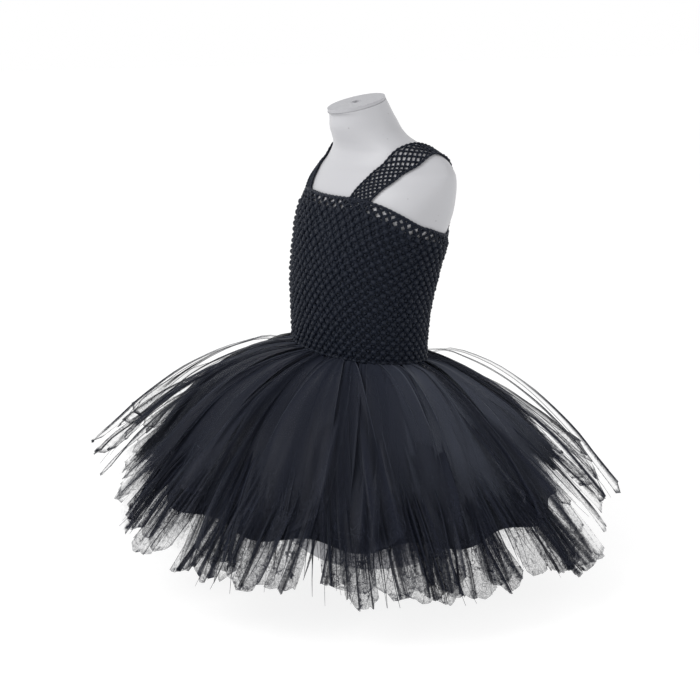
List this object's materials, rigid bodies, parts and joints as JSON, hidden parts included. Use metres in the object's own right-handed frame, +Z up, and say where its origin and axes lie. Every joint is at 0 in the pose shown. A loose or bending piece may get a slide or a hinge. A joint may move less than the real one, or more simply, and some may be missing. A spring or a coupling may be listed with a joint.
{
  "type": "tutu dress on a limbless dress form",
  "caption": "Child's tutu dress with a stretch crochet bodice, open-mesh shoulder straps and a flared skirt of layered tulle strips, on a limbless dress form that stands on its flat base",
  "frame": {"origin": "middle of the dress form's flat base, on the surface it stands on", "axes": "+Z up; the dress faces -Y; the wearer's left is +X"},
  "size_m": [0.6073, 0.6061, 0.5159],
  "materials": {
    "form": "satin white",
    "neck_plate": "matt white",
    "crochet": "black stretch crochet",
    "lining": "smooth black lining",
    "tulle": "sheer black net"
  },
  "bodies": {
    "root": {"form_torso": "form", "neck_plate": "neck_plate", "bodice": "crochet", "bodice_lining": "lining", "strap_left": "crochet", "strap_right": "crochet", "tulle_upper": "tulle", "tulle_lower": "tulle", "skirt_lining": "lining", "loose_strip_1": "tulle", "loose_strip_2": "tulle", "loose_strip_3": "tulle", "loose_strip_4": "tulle", "loose_strip_5": "tulle", "loose_strip_6": "tulle"}
  },
  "joints": []
}
